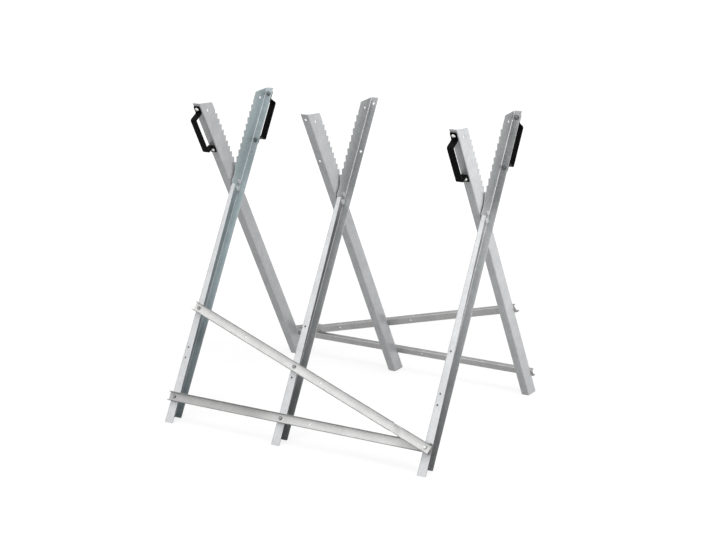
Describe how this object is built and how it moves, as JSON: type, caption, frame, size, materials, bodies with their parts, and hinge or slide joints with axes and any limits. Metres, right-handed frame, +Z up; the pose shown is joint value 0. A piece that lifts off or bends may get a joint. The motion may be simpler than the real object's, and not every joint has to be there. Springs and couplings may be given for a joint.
{
  "type": "folding log sawhorse",
  "caption": "Folding sawhorse of pressed galvanised steel: crossed toothed legs in a row, tied by bolted braces, with bent strap handles.",
  "frame": {"origin": "on the floor, under the middle of the overall box", "axes": "+X along the work to the right, +Y to the rear, +Z up"},
  "size_m": [0.794, 0.7056, 0.8032],
  "materials": {
    "galvanised_legs": "galvanised, satin, faint spangle",
    "galvanised_braces": "galvanised, satin",
    "black_handles": "black, semi-gloss",
    "bright_screws": "bright zinc",
    "zinc_fasteners": "dull zinc"
  },
  "bodies": {
    "front_frame": {"front_left_leg": "galvanised_legs", "front_middle_leg": "galvanised_legs", "front_right_leg": "galvanised_legs", "front_lower_brace": "galvanised_braces", "front_diagonal_brace": "galvanised_braces", "front_brace_bolts": "zinc_fasteners", "front_brace_nuts": "zinc_fasteners", "pivot_bolts": "zinc_fasteners", "pivot_spacers": "zinc_fasteners", "pivot_washers": "zinc_fasteners", "pivot_lock_nuts": "zinc_fasteners", "stop_bolts": "zinc_fasteners", "stop_washers": "zinc_fasteners", "stop_nuts": "zinc_fasteners", "rear_left_handle": "black_handles", "rear_right_handle": "black_handles", "rear_handle_screws": "bright_screws", "rear_handle_nuts": "zinc_fasteners"},
    "rear_frame": {"rear_left_leg": "galvanised_legs", "rear_middle_leg": "galvanised_legs", "rear_right_leg": "galvanised_legs", "rear_lower_brace": "galvanised_braces", "rear_diagonal_brace": "galvanised_braces", "rear_brace_bolts": "zinc_fasteners", "rear_brace_nuts": "zinc_fasteners", "front_left_handle": "black_handles", "front_right_handle": "black_handles", "front_handle_screws": "bright_screws", "front_handle_nuts": "zinc_fasteners"}
  },
  "joints": [
    {"name": "fold", "type": "hinge", "parent": "front_frame", "child": "rear_frame", "pos_m": [0, 0, 0.55114], "axis": [-1, 0, 0], "range_deg": [0, 52]}
  ]
}
